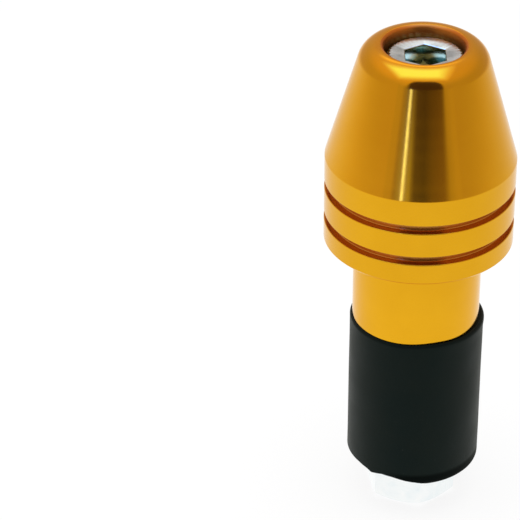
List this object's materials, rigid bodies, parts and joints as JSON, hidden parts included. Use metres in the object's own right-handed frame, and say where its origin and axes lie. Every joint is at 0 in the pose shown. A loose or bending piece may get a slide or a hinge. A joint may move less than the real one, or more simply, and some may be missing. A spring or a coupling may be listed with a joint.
{
  "type": "bar end weight",
  "caption": "Bar end weight: a gold anodised cone with a grooved band and neck, and a rubber sleeve that a socket head screw and hex nut squeeze to grip the inside of a handlebar.",
  "frame": {"origin": "centre of the flat shoulder that meets the end of the bar", "axes": "+Z along the axis, from the bar towards the nose"},
  "size_m": [0.025, 0.025, 0.0683],
  "materials": {
    "gold_anodised": "bright turned aluminium, anodised gold",
    "zinc_plated": "bright zinc plate on steel",
    "black_rubber": "matte black moulded rubber, cut to length"
  },
  "bodies": {
    "weight": {"weight_body": "gold_anodised", "rubber_sleeve": "black_rubber"},
    "screw": {"clamp_screw": "zinc_plated"},
    "nut": {"hex_nut": "zinc_plated"}
  },
  "joints": [
    {"name": "screw_turn", "type": "hinge", "parent": "weight", "child": "screw", "pos_m": [0, 0, 0.0209], "axis": [0, 0, -1], "range_deg": [0, 990]},
    {"name": "nut_draw", "type": "slide", "parent": "weight", "child": "nut", "axis": [0, 0, 1], "range_m": [0, 0.00275], "deforming": ["rubber_sleeve"]}
  ],
  "couplings": [
    {"joint": "nut_draw", "follows": "screw_turn", "m_per_rad": 0.00015915}
  ]
}
